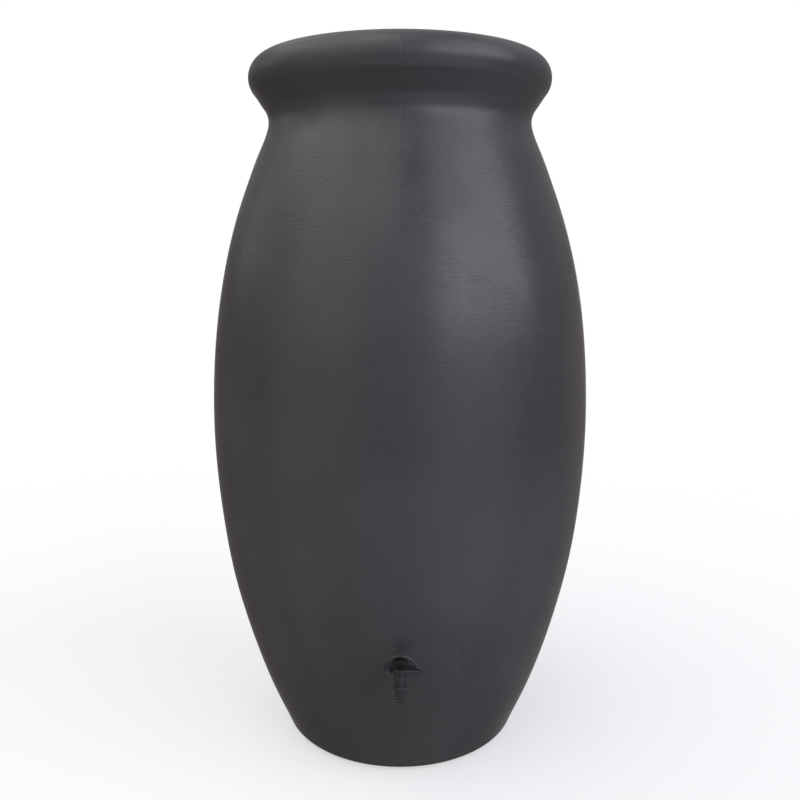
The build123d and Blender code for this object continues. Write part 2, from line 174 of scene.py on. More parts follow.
# ------------------------------------------------------------------ mesh helpers
def new_object(name, verts, faces):
    """A smooth-shaded object from vertices in metres."""
    mesh = bpy.data.meshes.new(name)
    mesh.from_pydata([tuple(v) for v in verts], [], [tuple(f) for f in faces])
    mesh.validate()
    mesh.update()
    obj = bpy.data.objects.new(name, mesh)
    scene.collection.objects.link(obj)
    for poly in mesh.polygons:
        poly.use_smooth = True
    return obj


def band(faces, near, far, skip=()):
    """Faces between two closed rings of vertex numbers; a repeated number makes a triangle."""
    count = len(near)
    for k in range(count):
        if k not in skip:
            j = (k + 1) % count
            faces.append(list(dict.fromkeys([near[k], near[j], far[j], far[k]])))


def frame_axes(origin, x, y):
    """A function that puts (a, b, c) metres at origin + a x + b y + c (x cross y)."""
    o, x, y = np.array(origin, float), np.array(x, float), np.array(y, float)
    z = np.cross(x, y)
    return lambda a, b, c: o + a * x + b * y + c * z


def lathe(name, profile, place, segments=96, closed=True, wave=None):
    """Turns (radius, height) points about the b axis of place; radius 0 becomes one pole.

    wave(radius, angle) gives the radius at that angle.
    """
    verts, rows, faces = [], [], []
    for r, h in profile:
        if r < 1e-6:
            verts.append(place(0, h * MM, 0))
            rows.append([len(verts) - 1] * segments)
            continue
        row = []
        for j in range(segments):
            q = TAU * j / segments
            reach = wave(r, q) if wave else r
            row.append(len(verts))
            verts.append(place(reach * MM * math.cos(q), h * MM, reach * MM * math.sin(q)))
        rows.append(row)
    for i in range(len(rows) if closed else len(rows) - 1):
        band(faces, rows[i], rows[(i + 1) % len(rows)])
    return new_object(name, verts, faces)


def loft(rows, verts, faces):
    """Adds a closed solid through rows of equal point counts, both ends capped."""
    rings = []
    for row in rows:
        rings.append(list(range(len(verts), len(verts) + len(row))))
        verts.extend(np.array(p, float) * MM for p in row)
    for near, far in zip(rings, rings[1:]):
        band(faces, near, far)
    faces.append(rings[0][::-1])
    faces.append(rings[-1])


def tube(verts, faces, path, radius, closed=False, side=(0.0, 0.0, 1.0)):
    """Adds a wire of square section along path (mm); side is never along the path."""
    sides = 4
    p = np.array(path, float) * MM
    if closed:
        tangent = np.roll(p, -1, axis=0) - np.roll(p, 1, axis=0)
    else:
        tangent = np.gradient(p, axis=0)
    tangent /= np.linalg.norm(tangent, axis=1)[:, None]
    a = np.cross(tangent, np.array(side))
    a /= np.linalg.norm(a, axis=1)[:, None]
    b = np.cross(a, tangent)
    rings = []
    for i in range(len(p)):
        rings.append(list(range(len(verts), len(verts) + sides)))
        for k in range(sides):
            q = TAU * (k + 0.5) / sides
            verts.append(p[i] + radius * MM * (math.cos(q) * a[i] + math.sin(q) * b[i]))
    for i in range(len(p) if closed else len(p) - 1):
        band(faces, rings[i], rings[(i + 1) % len(p)])
    if not closed:
        faces.append(rings[0][::-1])
        faces.append(rings[-1])


def tidy(obj, angle):
    """Outward normals, and smooth shading that stays crisp at edges above angle degrees."""
    bm = bmesh.new()
    bm.from_mesh(obj.data)
    bmesh.ops.remove_doubles(bm, verts=bm.verts, dist=2e-6)
    bmesh.ops.delete(bm, geom=[v for v in bm.verts if not v.link_faces], context="VERTS")
    bmesh.ops.recalc_face_normals(bm, faces=bm.faces)
    for f in bm.faces:
        f.smooth = True
    for e in bm.edges:
        sharp = len(e.link_faces) == 2 and e.calc_face_angle(0) > math.radians(angle)
        e.smooth = not sharp
    bm.to_mesh(obj.data)
    bm.free()
    return obj


def loft_object(name, rows):
    verts, faces = [], []
    loft(rows, verts, faces)
    return tidy(new_object(name, verts, faces), 60)


def apply_modifiers(obj):
    graph = bpy.context.evaluated_depsgraph_get()
    mesh = bpy.data.meshes.new_from_object(obj.evaluated_get(graph))
    obj.modifiers.clear()
    obj.data = mesh


def combine(obj, other, how):
    """obj joined with other, or cut by it, as one closed skin; other is used up."""
    mod = obj.modifiers.new("join", "BOOLEAN")
    mod.operation = how
    mod.solver = "EXACT"
    mod.object = other
    apply_modifiers(obj)
    bpy.data.objects.remove(other)


def piece(obj, body, look, stands_for):
    """Gives obj its material and tells the frame which body it rides and what it replaces."""
    obj.data.materials.clear()
    obj.data.materials.append(materials[look])
    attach(obj, body)
    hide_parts(stands_for)


# ------------------------------------------------------------------ materials
class Nodes:
    """A small wrapper for building a node tree."""

    def __init__(self, owner, output_kind, shader_kind):
        owner.use_nodes = True
        self.tree = owner.node_tree
        self.tree.nodes.clear()
        out = self.add(output_kind)
        self.shader = self.add(shader_kind)
        self.link(self.shader.outputs[0], out.inputs[0])

    def add(self, kind, **settings):
        node = self.tree.nodes.new(kind)
        for key, value in settings.items():
            setattr(node, key, value)
        return node

    def link(self, a, b):
        self.tree.links.new(a, b)

    def value(self, socket, x):
        if isinstance(x, bpy.types.NodeSocket):
            self.link(x, socket)
        else:
            socket.default_value = x

    def set(self, name, value):
        self.value(self.shader.inputs[name], value)

    def math(self, op, a, b=0.0, c=0.0):
        node = self.add("ShaderNodeMath", operation=op)
        for socket, x in zip(node.inputs, (a, b, c)):
            self.value(socket, x)
        return node.outputs[0]

    def remap(self, x, span, to=(0.0, 1.0), smooth=True):
        """x carried from the span to the other range, held at its ends."""
        node = self.add("ShaderNodeMapRange")
        node.interpolation_type = "SMOOTHSTEP" if smooth else "LINEAR"
        node.clamp = True
        self.link(x, node.inputs["Value"])
        for key, v in zip(("From Min", "From Max", "To Min", "To Max"), (*span, *to)):
            node.inputs[key].default_value = v
        return node.outputs["Result"]

    def mix(self, factor, a, b):
        node = self.add("ShaderNodeMix", data_type="RGBA")
        self.value(node.inputs["Factor"], factor)
        self.value(node.inputs["A"], a)
        self.value(node.inputs["B"], b)
        return node.outputs["Result"]

    def noise(self, vector, scale, detail=4.0, rough=0.55, distort=0.0):
        node = self.add("ShaderNodeTexNoise")
        node.inputs["Scale"].default_value = scale
        node.inputs["Detail"].default_value = detail
        node.inputs["Roughness"].default_value = rough
        node.inputs["Distortion"].default_value = distort
        self.link(vector, node.inputs["Vector"])
        return node.outputs[0]

    def position(self):
        return self.add("ShaderNodeTexCoord").outputs["Object"]

    def stretch(self, vector, x, y, z):
        node = self.add("ShaderNodeMapping")
        self.link(vector, node.inputs["Vector"])
        node.inputs["Scale"].default_value = (x, y, z)
        return node.outputs[0]

    def turn(self, split):
        """Angle round Z, 0 at the front and growing towards +X."""
        return self.math("ARCTAN2", split.outputs["X"],
                         self.math("MULTIPLY", split.outputs["Y"], -1.0))


class Material(Nodes):
    def __init__(self, name):
        self.mat = bpy.data.materials.new(name)
        super().__init__(self.mat, "ShaderNodeOutputMaterial", "ShaderNodeBsdfPrincipled")

    def around(self, vector, radius):
        """(arc length round the Z axis, 0, height) of the point, and the height alone."""
        split = self.add("ShaderNodeSeparateXYZ")
        self.link(vector, split.inputs[0])
        join = self.add("ShaderNodeCombineXYZ")
        self.link(self.math("MULTIPLY", self.turn(split), radius), join.inputs["X"])
        self.link(split.outputs["Z"], join.inputs["Z"])
        return join.outputs[0], split.outputs["Z"]

    def bumps(self, *layers):
        """Chained bump nodes from dicts of height socket, strength and distance."""
        normal = None
        for layer in layers:
            node = self.add("ShaderNodeBump")
            self.value(node.inputs["Strength"], layer["strength"])
            node.inputs["Distance"].default_value = layer["distance"]
            self.link(layer["height"], node.inputs["Height"])
            if normal is not None:
                self.link(normal, node.inputs["Normal"])
            normal = node.outputs[0]
        self.set("Normal", normal)


def barrel_plastic():
    n = Material("barrel_plastic")
    pos = n.position()
    flat, z = n.around(pos, radius=0.3)
    # short level streaks left by the mould, strongest on the shoulder
    streak = n.noise(n.stretch(flat, x=70, y=1, z=420), scale=1.0, detail=3.0, rough=0.5,
                     distort=0.4)
    streak = n.remap(streak, span=(0.44, 0.70))
    peel = n.noise(n.stretch(pos, x=1, y=1, z=1.5), scale=190.0, detail=3.0, rough=0.5)
    broad = n.noise(pos, scale=7.0, detail=3.0, rough=0.5)
    patch = n.noise(n.stretch(flat, x=9, y=1, z=14), scale=1.0, detail=2.0, rough=0.5)
    rise = n.remap(z, span=(0.50, 0.95), to=(0.10, 1.0))
    fall = n.remap(z, span=(0.97, 1.05), to=(1.0, 0.10))
    where = n.math("MULTIPLY", n.math("MULTIPLY", rise, fall),
                   n.remap(patch, span=(0.36, 0.62), to=(0.25, 1.0)))
    dark, pale = (0.0500, 0.0510, 0.0518, 1), (0.0580, 0.0590, 0.0598, 1)
    colour = n.mix(n.remap(broad, span=(0.3, 0.7)), dark, pale)
    # pale dust on the foot
    dust_colour = (0.10, 0.095, 0.085, 1)
    dust = n.math("MULTIPLY", n.noise(pos, scale=26.0, detail=5.0, rough=0.6),
                  n.remap(z, span=(0.02, 0.0), to=(0.0, 0.5)))
    n.set("Base Color", n.mix(dust, colour, dust_colour))
    rough = n.remap(n.noise(pos, scale=40.0, detail=4.0, rough=0.6),
                    span=(0.3, 0.7), to=(0.23, 0.29))
    streak_rough = 0.05
    rough = n.math("ADD", rough,
                   n.math("MULTIPLY", n.math("MULTIPLY", streak, where), streak_rough))
    # the rim is a little duller than the body
    rough = n.math("ADD", rough, n.remap(z, span=(0.93, 1.03), to=(0.0, 0.07)))
    n.set("Roughness", rough)
    n.set("Specular IOR Level", 0.5)
    streak_strength = 0.24
    n.bumps(
        dict(height=peel, strength=0.07, distance=0.0012),
        dict(height=streak, strength=n.math("MULTIPLY", where, streak_strength),
             distance=0.0011),
        dict(height=broad, strength=0.06, distance=0.004),
    )
    return n.mat


def moulded(name, colour, rough, grain, depth):
    """Moulded plastic with a fine grain; grain is its noise scale and depth its bump."""
    spread = 0.18  # how far the colour strays either way
    n = Material(name)
    pos = n.position()
    fine = n.noise(pos, scale=grain, detail=3.0, rough=0.6)
    soft = n.noise(pos, scale=55.0)
    dark = tuple(c * (1 - spread) for c in colour) + (1,)
    pale = tuple(c * (1 + spread) for c in colour) + (1,)
    n.set("Base Color", n.mix(n.remap(soft, span=(0.3, 0.7)), dark, pale))
    n.set("Roughness", n.remap(n.noise(pos, scale=130.0, rough=0.6),
                               span=(0.3, 0.7), to=(rough - 0.05, rough + 0.07)))
    n.bumps(dict(height=fine, strength=0.35, distance=depth),
            dict(height=soft, strength=0.1, distance=0.0006))
    return n.mat


def rubber():
    n = Material("rubber")
    pos = n.position()
    fine = n.noise(pos, scale=1300.0, detail=2.0, rough=0.6)
    bloom = n.noise(pos, scale=70.0, detail=5.0, rough=0.6)
    black, bloomed = (0.016, 0.016, 0.016, 1), (0.045, 0.043, 0.041, 1)
    n.set("Base Color", n.mix(n.remap(bloom, span=(0.45, 0.75), to=(0.0, 0.5)), black, bloomed))
    n.set("Roughness", n.remap(bloom, span=(0.3, 0.7), to=(0.66, 0.82)))
    n.set("Specular IOR Level", 0.35)
    n.bumps(dict(height=fine, strength=0.3, distance=0.0002))
    return n.mat


def metal(name, colour, rough):
    n = Material(name)
    pos = n.position()
    lines = n.noise(n.stretch(pos, x=60, y=3000, z=60), scale=1.0, detail=3.0, rough=0.6)
    stain = n.noise(pos, scale=180.0, detail=5.0, rough=0.6)
    stained = tuple(c * 0.55 for c in colour) + (1,)
    n.set("Base Color", n.mix(n.remap(stain, span=(0.5, 0.8), to=(0.0, 0.6)),
                              colour + (1,), stained))
    n.set("Metallic", 1.0)
    n.set("Roughness", n.remap(stain, span=(0.3, 0.7), to=(rough, rough + 0.15)))
    n.bumps(dict(height=lines, strength=0.15, distance=0.0001))
    return n.mat


materials = {
    "barrel": barrel_plastic(),
    "lid": moulded("lid_plastic", colour=(0.040, 0.041, 0.044), rough=0.46, grain=700.0,
                   depth=0.0004),
    "tap": moulded("tap_plastic", colour=(0.020, 0.020, 0.0208), rough=0.34, grain=1500.0,
                   depth=0.00015),
    "valve": moulded("tap_valve_plastic", colour=(0.010, 0.010, 0.0105), rough=0.32,
                     grain=1500.0, depth=0.00015),
    "overflow": moulded("overflow_plastic", colour=(0.014, 0.014, 0.0145), rough=0.40,
                        grain=1200.0, depth=0.0002),
    "strainer": moulded("strainer_plastic", colour=(0.028, 0.029, 0.031), rough=0.42,
                        grain=1000.0, depth=0.0002),
    "rubber": rubber(),
    "brass": metal("brass", colour=(0.72, 0.52, 0.24), rough=0.28),
    "steel": metal("blackened_steel", colour=(0.060, 0.060, 0.062), rough=0.38),
    "wire": metal("wire", colour=(0.50, 0.51, 0.52), rough=0.35),
}

# ------------------------------------------------------------------ barrel skin: profile
foot_lean, roll_start = math.radians(FOOT_LEAN), math.radians(ROLL_START)
corner_end = (FOOT_R + CORNER_R * math.cos(foot_lean), CORNER_R - CORNER_R * math.sin(foot_lean))
roll_begin = (ROLL_CENTRE[0] + ROLL_R * math.cos(roll_start),
              ROLL_CENTRE[1] + ROLL_R * math.sin(roll_start))
outer_line, outer_tangent = spline(
    [corner_end, *STATIONS, roll_begin],
    (math.sin(foot_lean), math.cos(foot_lean)), (-math.sin(roll_start), math.cos(roll_start)),
    4001,
)
inner_line = outer_line + WALL * np.stack([-outer_tangent[:, 1], outer_tangent[:, 0]], axis=1)


def outer_radius(z):
    return np.interp(z, outer_line[:, 1], outer_line[:, 0])


def inner_radius(z):
    return np.interp(z, inner_line[:, 1], inner_line[:, 0])


def half_profile(disc, floor, corner_points, wall_line, roll_points, inset):
    """Rows from the middle of the floor, up the wall and over the rim to the mouth."""
    return np.concatenate([
        disc, rounded(floor, step=6)[1:-1],
        arc((FOOT_R, CORNER_R), CORNER_R - inset, -90, -FOOT_LEAN, corner_points)[:-1],
        even(wall_line, 6.0)[:-1],
        arc(ROLL_CENTRE, ROLL_R - inset, ROLL_START, 180, roll_points)[:-1],
    ])


FLOOR_TOP = FLOOR + WALL
ROLL_INSIDE = ROLL_CENTRE[0] - ROLL_R
# floor outlines, where the raised middle steps down to the foot: radius, height, corner radius
outer_rows = half_profile(
    [(r, FLOOR) for r in (0, 20, 50, 80, 98)],
    [(0, FLOOR, 0), (116, FLOOR, 9), (136, 0, 9), (FOOT_R, 0, 0)],
    15, outer_line, 60, 0.0,
)
inner_rows = half_profile(
    [(r, FLOOR_TOP) for r in (0, 20, 50, 80, 96)],
    [(0, FLOOR_TOP, 0), (117.58, FLOOR_TOP, 14), (137.58, WALL, 4), (FOOT_R, WALL, 0)],
    12, inner_line, 44, WALL,
)
# the ledge inside the rim: radius, height, corner radius
mouth_rows = np.array(rounded([
    (ROLL_INSIDE, ROLL_CENTRE[1], 0), (ROLL_INSIDE, LEDGE, 8), (MOUTH_R, LEDGE, 1.6),
    (MOUTH_R, LEDGE - WALL, 1.6), (ROLL_INSIDE + WALL, LEDGE - WALL, 13),
    (ROLL_INSIDE + WALL, ROLL_CENTRE[1], 0),
], step=9))
profile = np.concatenate([outer_rows, mouth_rows, inner_rows[::-1]])
row_count = len(profile)
outer_range = range(len(outer_rows))
inner_range = range(len(outer_rows) + len(mouth_rows), row_count)

# even columns, with extra ones beside the moulding lines, degrees
seam = np.radians([-0.45, -0.27, -0.14, 0.14, 0.27, 0.45])
columns = np.concatenate([np.arange(240) * TAU / 240, FRONT + seam, BACK + seam])
columns = np.unique(np.round(columns % TAU, 9))
column_count = len(columns)


def ridge(theta, z):
    """Height of the moulding line where the two mould halves meet, front and back."""
    off = min(abs(wrap(theta - FRONT)), abs(wrap(theta - BACK)))
    across = max(0.0, 1 - off / math.radians(0.30))
    along = 0.45 + 0.35 * math.sin(z * 0.021 + 1.3) * math.sin(z * 0.0534)
    if z > 1040:
        along = 1.0
    elif z > 955:
        along = 0.75
    elif z < 420:
        along *= 0.5
    return 0.30 * across * along


def sway(theta, z):
    """Slight unevenness of the moulding, dying out at the foot and the rim."""
    return 0.30 * (
        math.sin(3 * theta + 0.011 * z + 0.4) * math.sin(0.0093 * z + 1.1)
        + 0.6 * math.sin(5 * theta - 0.017 * z + 2.0)
        + 0.35 * math.sin(11 * theta + 0.031 * z)
    ) * min(1.0, max(0.0, (z - 30) / 120)) * min(1.0, max(0.0, (1085 - z) / 60))


# ------------------------------------------------------------------ barrel skin: grid
verts, faces = [], []
grid_ids = -np.ones((row_count, column_count), int)
hidden = set()
open_cells = [set() for _ in range(row_count)]


def columns_near(middle, half):
    """Column numbers, in order, within half of the middle angle."""
    off = wrap(columns - middle)
    return sorted((j for j in range(column_count) if abs(off[j]) <= half), key=lambda j: off[j])


def open_block(rows, z_low, z_high, cols):
    """Leaves out a block of the grid between two heights, for a patch to fill."""
    ends = [min(rows, key=lambda i: abs(profile[i][1] - z)) for z in (z_low, z_high)]
    first, last = min(ends), max(ends)
    hidden.update((i, j) for i in range(first + 1, last) for j in cols[1:-1])
    for i in range(first, last):
        open_cells[i].update(cols[:-1])
    return first, last, cols


def block_edge(first, last, cols):
    """Grid places round a block, once round from its first corner."""
    out = [(first, j) for j in cols]
    out += [(i, cols[-1]) for i in range(first + 1, last + 1)]
    out += [(last, j) for j in cols[::-1][1:]]
    out += [(i, cols[0]) for i in range(last - 1, first, -1)]
    return out


BLOCK_HALF = math.radians(10.6)
front_columns = columns_near(FRONT, BLOCK_HALF)
back_columns = columns_near(BACK, BLOCK_HALF)
tap_outer = open_block(outer_range, 158, 262, front_columns)
tap_inner = open_block(inner_range, 158, 262, front_columns)
over_outer = open_block(outer_range, 862, 946, back_columns)
over_inner = open_block(inner_range, 862, 946, back_columns)

for i, (r, z) in enumerate(profile):
    if r < 1e-6:  # the middle of the floor is one vertex
        grid_ids[i, :] = len(verts)
        verts.append(np.array([0.0, 0.0, z]))
        continue
    uneven = i in outer_range and z > 3 and r > 150
    for j, q in enumerate(columns):
        if (i, j) not in hidden:
            reach = r + (ridge(q, z) + sway(q, z) if uneven else 0.0)
            grid_ids[i, j] = len(verts)
            verts.append(np.array([reach * math.cos(q), reach * math.sin(q), z]))
for i in range(row_count - 1):
    band(faces, grid_ids[i].tolist(), grid_ids[i + 1].tolist(), skip=open_cells[i])


# ------------------------------------------------------------------ barrel skin: patches
def ring_patch(block, centre, to_plane, from_plane, rings):
    """Rings of quads from a block's edge inward; returns the last ring's vertex numbers.

    Each ring is (radius, share of the way there from the edge, depth). A depth of None
    follows the wall. from_plane(u, v, depth) gives the point.
    """
    ring = [grid_ids[i, j] for i, j in block_edge(*block)]
    polar = []
    for vert in ring:
        u, v = to_plane(verts[vert])
        u, v = u - centre[0], v - centre[1]
        polar.append((math.atan2(v, u), math.hypot(u, v)))
    for radius, share, depth in rings:
        inner = []
        for a, full in polar:
            rho = full + (radius - full) * share
            u, v = centre[0] + rho * math.cos(a), centre[1] + rho * math.sin(a)
            inner.append(len(verts))
            verts.append(np.array(from_plane(u, v, depth)))
        band(faces, ring, inner)
        ring = inner
    return ring


def step_rings(ring, steps, place):
    """Further rings: place(point of the first ring, *step) gives each point."""
    base = [verts[v] for v in ring]
    for step in steps:
        inner = []
        for p in base:
            inner.append(len(verts))
            verts.append(place(p, *step))
        band(faces, ring, inner)
        ring = inner
    return ring


def join_rings(a_ring, b_ring, centre, to_plane):
    """Joins two rings of different vertex counts with triangles and quads, by angle."""
    def angle(vert):
        u, v = to_plane(verts[vert])
        return math.atan2(v - centre[1], u - centre[0])

    a_ring, b_ring = sorted(a_ring, key=angle), sorted(b_ring, key=angle)
    a_angles, b_angles = [angle(v) for v in a_ring], [angle(v) for v in b_ring]
    na, nb = len(a_ring), len(b_ring)
    i = j = 0
    while i < na or j < nb:
        a_next = a_angles[(i + 1) % na] + (TAU if i + 1 >= na else 0)
        b_next = b_angles[(j + 1) % nb] + (TAU if j + 1 >= nb else 0)
        va, vb = a_ring[i % na], b_ring[j % nb]
        if i < na and j < nb and -1e-6 < a_next - b_next <= 1e-7:
            faces.append([va, a_ring[(i + 1) % na], b_ring[(j + 1) % nb], vb])
            i += 1
            j += 1
        elif i < na and (j >= nb or a_next <= b_next):
            faces.append([va, a_ring[(i + 1) % na], vb])
            i += 1
        else:
            faces.append([va, b_ring[(j + 1) % nb], vb])
            j += 1


# --- tap recess, seen from the front as (x, z)
def tap_plane(p):
    return p[0], p[2]


def outer_y(x, z):
    """y of the outside of the front wall."""
    r = outer_radius(z)
    theta = math.atan2(-math.sqrt(r * r - x * x), x) % TAU
    r = r + ridge(theta, z) + sway(theta, z)
    return -math.sqrt(r * r - x * x)


def inner_y(x, z):
    """y of the inside of the front wall."""
    r = inner_radius(z)
    return -math.sqrt(r * r - x * x)


def recess_share(rho):
    """0 outside the edge of the recess, 1 inside it."""
    return smooth01((BEAD_R - BEAD * 0.75 + 0.9 - rho) / 2.6)


def seat_y(u, v):
    """y of the recess: a crisp step above, nearly flush below."""
    wall = outer_y(u, v)
    proud = max(0.0, -wall - SEAT_OUT)
    rho, from_hole = math.hypot(u, v - SEAT_Z), math.hypot(u, v - TAP_Z)
    up = (v - SEAT_Z) / max(rho, 1e-6)
    flush = 0.9 * smooth01((0.30 - up) / 0.75) * smooth01((from_hole - 13.6) / 3.0)
    return wall + recess_share(rho) * proud * (1 - flush)


def tap_outer_point(u, v, _depth):
    # the bead along the edge of the recess dies away towards the bottom
    rho = math.hypot(u, v - SEAT_Z)
    fade = smooth01(((v - SEAT_Z) / rho + 0.30) / 0.7)
    swell = 0.52 * BEAD * fade * math.sqrt(max(0.0, 1 - ((rho - BEAD_R) / BEAD) ** 2))
    return u, seat_y(u, v) - swell * (1 - recess_share(rho)), v


def seat_point(p, rho, share):
    """A point part of the way from p to the circle of radius rho about the hole."""
    a = math.atan2(p[2] - TAP_Z, p[0])
    u = p[0] + (rho * math.cos(a) - p[0]) * share
    v = p[2] + (TAP_Z + rho * math.sin(a) - p[2]) * share
    return np.array([u, seat_y(u, v), v])


def tap_inner_point(u, v, limit):
    """On the inside of the wall, no further out than limit."""
    y = inner_y(u, v)
    return u, (y if limit is None else max(y, -limit)), v


def boss_point(p, rho, out):
    """On the circle of radius rho about the hole, at out from the axis or on the recess."""
    a = math.atan2(p[2] - TAP_Z, p[0])
    u, v = rho * math.cos(a), TAP_Z + rho * math.sin(a)
    if out is None:
        return np.array(tap_inner_point(u, v, SEAT_BACK))
    return np.array([u, -out, v])


bead_angles = np.radians([0, 12, 25, 40, 55, 70, 85, 100, 115, 130])
tap_rings = [(BEAD_R + BEAD + 1.2, share, None) for share in (0.35, 0.7, 1.0)]
tap_rings += [(BEAD_R + BEAD * math.cos(q), 1, None) for q in bead_angles]
tap_rings += [(BEAD_R - inset, 1, None) for inset in (1.9, 2.3, 2.8, 3.3)]
tap_front = ring_patch(tap_outer, (0.0, SEAT_Z), tap_plane, tap_outer_point, tap_rings)
# radius about the hole, share of the way to it
tap_front = step_rings(tap_front, [
    (16.6, 0.25), (16.6, 0.5), (16.6, 0.75), (16.6, 1.0), (15.1, 1.0), (13.6, 1.0),
    (TAP_HOLE_R, 1.0),
], seat_point)

SEAT_BACK = SEAT_OUT - WALL
CUP_R = SEAT_R + WALL
tap_back = ring_patch(tap_inner, (0.0, SEAT_Z), tap_plane, tap_inner_point, [
    (CUP_R, 0.5, None), (CUP_R, 1, None), (CUP_R - 0.8, 1, SEAT_BACK), (24.0, 1, SEAT_BACK),
])
# the boss round the hole, inside the barrel: radius, distance out from the axis
tap_back = step_rings(tap_back, [
    (19.0, None), (19.0, 250.0), (19.0, 240.8), (18.2, 240.0), (14.0, 240.0), (14.0, 246.0),
    (TAP_HOLE_R, 246.0),
], boss_point)
join_rings(tap_front, tap_back, (0, TAP_Z), tap_plane)


# --- overflow seat, in its leaning plane as (x, up the wall)
def over_plane(p):
    d = np.array(p) - over_origin
    return float(d[0]), float(-(d @ over_down))


def over_point(u, v, height):
    return over_origin + np.array([u, 0, 0]) - v * over_down + height * over_out


def over_wall(u, v, radius_at):
    """The point over (u, v) where the wall is met."""
    low, high = -40.0, 20.0
    for _ in range(40):
        middle = (low + high) / 2
        p = over_point(u, v, middle)
        if math.hypot(p[0], p[1]) > radius_at(p[2]):
            high = middle
        else:
            low = middle
    return over_point(u, v, (low + high) / 2)


def over_outer_point(u, v, depth):
    if depth is not None:
        return over_point(u, v, depth)
    p = over_wall(u, v, outer_radius)
    theta = math.atan2(p[1], p[0]) % TAU
    r = math.hypot(p[0], p[1])
    line = ridge(theta, p[2]) * smooth01((math.hypot(u, v) - 26) / 6)
    grow = (r + line + sway(theta, p[2])) / r
    return np.array([p[0] * grow, p[1] * grow, p[2]])


def over_inner_point(u, v, depth):
    return over_wall(u, v, inner_radius) if depth is None else over_point(u, v, depth)


over_front = ring_patch(over_outer, (0.0, 0.0), over_plane, over_outer_point, [
    (27.0, 0.5, None), (27.0, 1, None), (24.6, 1, None), (23.6, 1, -0.75), (23.0, 1, -1.2),
    (22.2, 1, -OVER_SINK), (16.8, 1, -OVER_SINK), (16.2, 1, -1.7), (16.0, 1, -2.1),
])
over_back = ring_patch(over_inner, (0.0, 0.0), over_plane, over_inner_point, [
    (29.0, 0.5, None), (29.0, 1, None), (26.4, 1, None), (25.4, 1, -OVER_SINK - WALL),
    (16.4, 1, -OVER_SINK - WALL), (16.0, 1, -6.2),
])
join_rings(over_front, over_back, (0, 0), over_plane)

skin = tidy(new_object("barrel_skin", np.array(verts) * MM, faces), 40)
piece(skin, "barrel", "barrel", "barrel_shell")

# ------------------------------------------------------------------ lid and seal
AXIS = frame_axes((0, 0, 0), (1, 0, 0), (0, 0, 1))
# the dish slopes from its inner edge up to the wall under the flange
DISH_R, DISH_Z = 73.0, 1036.0
DISH_OUTER_R, DISH_OUTER_Z = 134.5, 1041.0


def dish_z(r):
    return DISH_Z + (r - DISH_R) * (DISH_OUTER_Z - DISH_Z) / (DISH_OUTER_R - DISH_R)


def lid_cover():
    """The dished cover, with two low stiffening rings on it."""
    # radius, height, corner radius
    line = [
        (163.0, FLANGE, 0.9), (163.0, FLANGE + 4, 1.6), (160.4, FLANGE + 4.9, 1.2),
        (157.2, FLANGE + 4.9, 1.2), (155.4, FLANGE + 4, 1.5), (DISH_OUTER_R, FLANGE + 4, 2.6),
        (DISH_OUTER_R, DISH_OUTER_Z, 5.0),
    ]
    for middle in (116.0, 96.0):
        for off, rise, corner in ((3.6, 0, 1.4), (2.4, 1.3, 1.2), (-2.4, 1.3, 1.2), (-3.6, 0, 1.4)):
            line.append((middle + off, dish_z(middle + off) + rise, corner))
    line += [
        (DISH_R, DISH_Z, 1.2), (DISH_R, 1034.0, 0.8), (62.0, 1034.0, 0.9), (62.0, 1031.0, 0.9),
        (77.0, 1031.0, 4.0), (138.5, 1036.6, 6.0), (138.5, FLANGE, 1.6),
    ]
    return tidy(lathe("lid_cover", rounded(line), AXIS, 192), 45)


def grip_rows(side_x):
    """An arch-shaped grip at x = side_x, flaring where it meets the flange."""
    half_span, foot_z, top_z, bend = 18.8, FLANGE + 2.0, FLANGE + 21.9, 9.5
    half_width, half_thick, squareness = 4.5, 3.2, 0.62
    line = even(rounded([
        (-half_span, foot_z, 0), (-half_span, top_z, bend),
        (half_span, top_z, bend), (half_span, foot_z, 0),
    ], step=9), 1.6)
    tangent = np.gradient(line, axis=0)
    tangent /= np.linalg.norm(tangent, axis=1)[:, None]
    rows = []
    for (y, z), (ty, tz) in zip(line, tangent):
        flare = 1 + 0.34 * smooth01((FLANGE + 7.5 - z) / 3.4) ** 1.4
        thick = half_thick + 0.5 * smooth01((z - FLANGE - 18) / 3)
        row = []
        for k in range(24):
            c, s = math.cos(TAU * k / 24), math.sin(TAU * k / 24)
            across = math.copysign(abs(c) ** squareness, c) * half_width * flare
            out = math.copysign(abs(s) ** squareness, s) * thick * flare
            row.append((side_x + across, y - tz * out, z + ty * out))
        rows.append(row)
    return rows


def rib_rows(angle):
    """A radial rib under the dish, its long edges eased."""
    # radius, height, corner radius
    section = rounded([
        (77.5, 1034.0, 0), (77.5, 1026.0, 1.2), (79.5, 1024.0, 1.2), (131.0, 1024.0, 2),
        (135.0, 1028.0, 2), (135.0, 1038.6, 0),
    ], step=30)
    u = (math.cos(angle), math.sin(angle))
    v = (-u[1], u[0])
    rows = []
    # distance to one side of the middle, how far the section draws in there
    for off, inset in ((-1.5, 0.5), (-1.1, 0.12), (-0.7, 0), (0.7, 0), (1.1, 0.12), (1.5, 0.5)):
        row = []
        for r, z in section:
            r2 = r + (inset if r < 90 else -inset if r > 120 else 0)
            z2 = z + (inset if z < 1030 else 0)
            row.append((u[0] * r2 + v[0] * off, u[1] * r2 + v[1] * off, z2))
        rows.append(row)
    return rows


def build_lid():
    lid = lid_cover()
    extra_verts, extra_faces = [], []
    for side_x in (-149.0, 149.0):
        loft(grip_rows(side_x), extra_verts, extra_faces)
    for k in range(12):
        loft(rib_rows(TAU * k / 12), extra_verts, extra_faces)
    combine(lid, tidy(new_object("lid_extras", extra_verts, extra_faces), 50), "UNION")
    piece(tidy(lid, 38), "lid", "lid", "lid")


